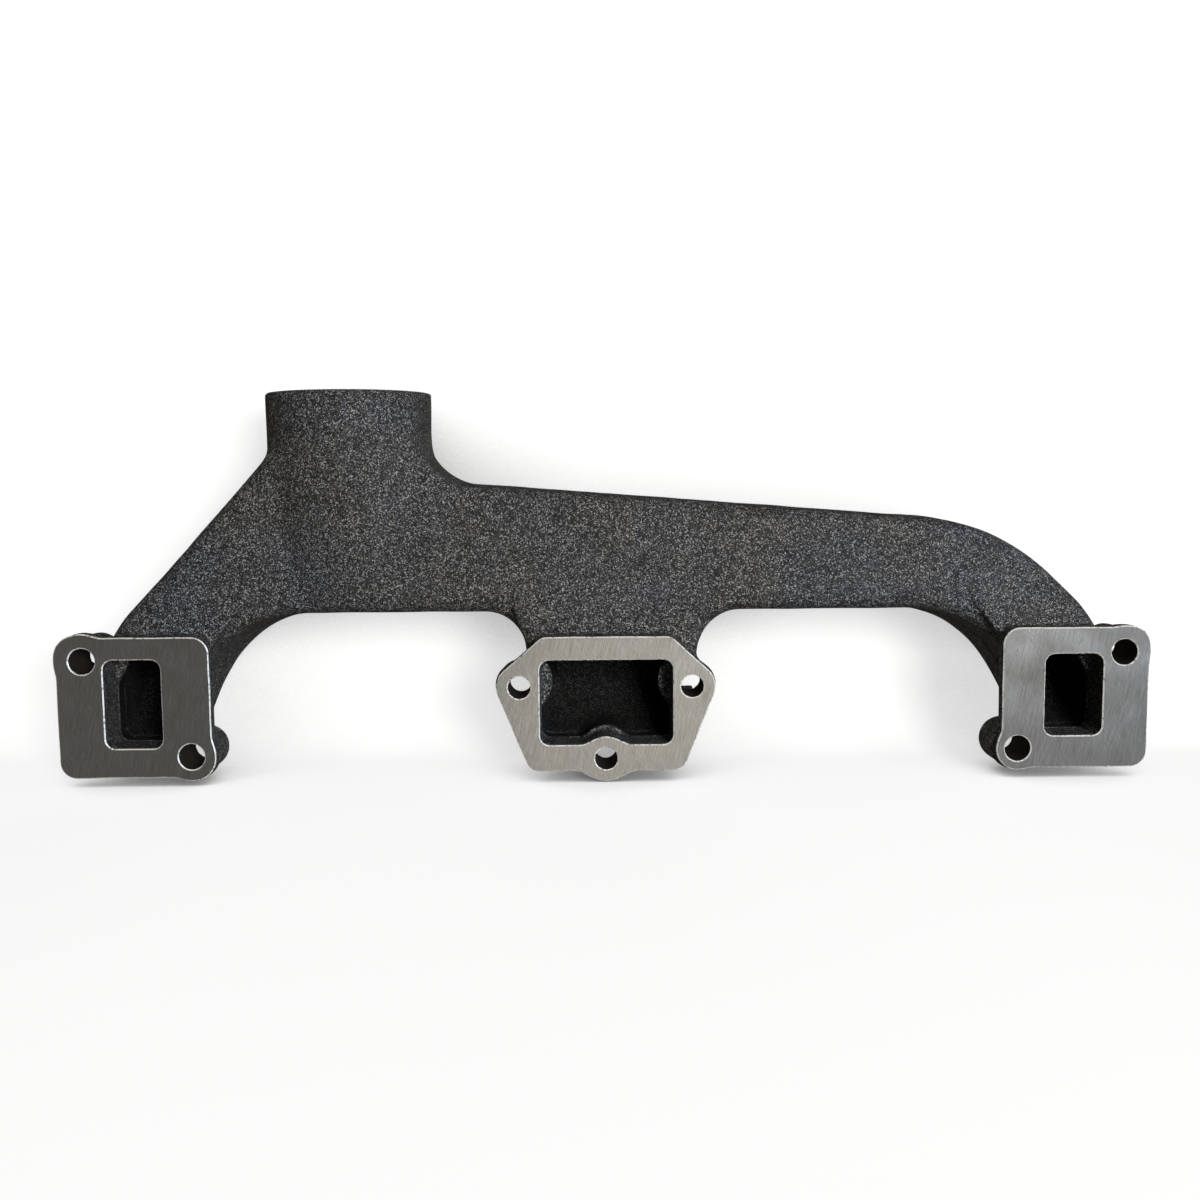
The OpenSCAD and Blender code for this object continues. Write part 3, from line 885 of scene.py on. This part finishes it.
def make_stage():
    """A white sweep: a floor that curves up into a wall close behind the casting."""
    lo, hi = cad_box
    reach = 3.0
    floor, wall, radius = lo.z - 0.0005, hi.y + 0.006, 0.04
    turns = [math.radians(a) for a in range(0, 91, 5)]
    line = [(-reach, floor)]
    line += [(wall - radius * (1 - math.sin(t)), floor + radius * (1 - math.cos(t))) for t in turns]
    line += [(wall, reach)]
    data = bpy.data.meshes.new("floor_sweep")
    strips = list(range(len(line) - 1)) + [len(line)]
    line += [(wall - radius, floor), (reach, floor)]        # floor behind the wall, for views from there
    data.from_pydata([(x, y, z) for y, z in line for x in (-reach, reach)], [],
                     [(2 * i, 2 * i + 1, 2 * i + 3, 2 * i + 2) for i in strips])
    data.materials.append(stage_paper())
    sweep = bpy.data.objects.new("floor_sweep", data)
    bpy.context.scene.collection.objects.link(sweep)
    for face in data.polygons:
        face.use_smooth = True
    sweep.visible_diffuse = False
    sweep.visible_glossy = False
    sweep.visible_shadow = False


def area_light(name, place, target, size, power, color):
    data = bpy.data.lights.new(name, "AREA")
    data.shape = "RECTANGLE"
    data.size, data.size_y = size
    data.energy = power
    data.color = color
    light = bpy.data.objects.new(name, data)
    bpy.context.scene.collection.objects.link(light)
    light.location = place
    light.rotation_mode = "QUATERNION"
    light.rotation_quaternion = (Vector(target) - Vector(place)).to_track_quat("-Z", "Y")
    return light


def make_light():
    """Soft light from the front, with a white surround that only the camera sees."""
    world = bpy.data.worlds.new("studio")
    bpy.context.scene.world = world
    world.use_nodes = True
    nodes, links = world.node_tree.nodes, world.node_tree.links
    dim = nodes["Background"]
    dim.inputs["Color"].default_value = (0.085, 0.078, 0.070, 1)
    white = nodes.new("ShaderNodeBackground")
    white.inputs["Color"].default_value = (1, 1, 1, 1)
    seen = nodes.new("ShaderNodeLightPath")
    chosen = nodes.new("ShaderNodeMixShader")
    links.new(seen.outputs["Is Camera Ray"], chosen.inputs[0])
    links.new(dim.outputs[0], chosen.inputs[1])
    links.new(white.outputs[0], chosen.inputs[2])
    links.new(chosen.outputs[0], nodes["World Output"].inputs["Surface"])
    area_light("key", (0.45, -1.25, 0.30), (0, 0, 0.03), (0.4, 0.4), 19.5, (1.0, 0.99, 0.97))
    cool = area_light("cool", (0.95, -0.76, 0.25), (-0.1, 0, 0.08), (0.3, 0.5), 12, (0.45, 0.68, 1.0))
    cool.visible_diffuse = False
    area_light("low_centre", (0.05, -1.1, -0.23), (0, 0, 0), (0.42, 0.34), 0.35, (1.0, 0.95, 0.84))
    area_light("low_left", (-0.63, -1.1, -0.22), (-0.19, 0, 0), (0.36, 0.34), 0.014, (1.0, 0.97, 0.95))
    area_light("low_right", (0.63, -1.1, -0.22), (0.19, 0, 0), (0.36, 0.34), 0.092, (0.88, 0.94, 1.0))
    back = area_light("back", (0, 1.5, 0.10), (0, 0.04, 0.03), (0.9, 0.3), 15, (1.0, 1.0, 1.0))
    back.visible_glossy = False
    bpy.context.scene.view_settings.view_transform = "Standard"


make_camera()
make_stage()
make_light()
MATERIALS = [cast_iron("cast_iron_skin", 1.0, 0.5, 0.25), milled_face(), bevel_edge(), drilled_hole()]
# passage walls: the same cast iron painted far darker, as painted shade deep inside the ducts
MATERIALS += [MATERIALS[CAST], cast_iron("shaded_passage_wall", 0.16, 0.7, 0.15)]
for region, region_mesh in cut_into_regions(cast_body(GRID)).items():
    make_piece(region, region_mesh)
for port_side, port_box in (("left", LEFT_PORT), ("centre", CENTRE_PORT), ("right", RIGHT_PORT)):
    ring_bead(port_side, port_box)
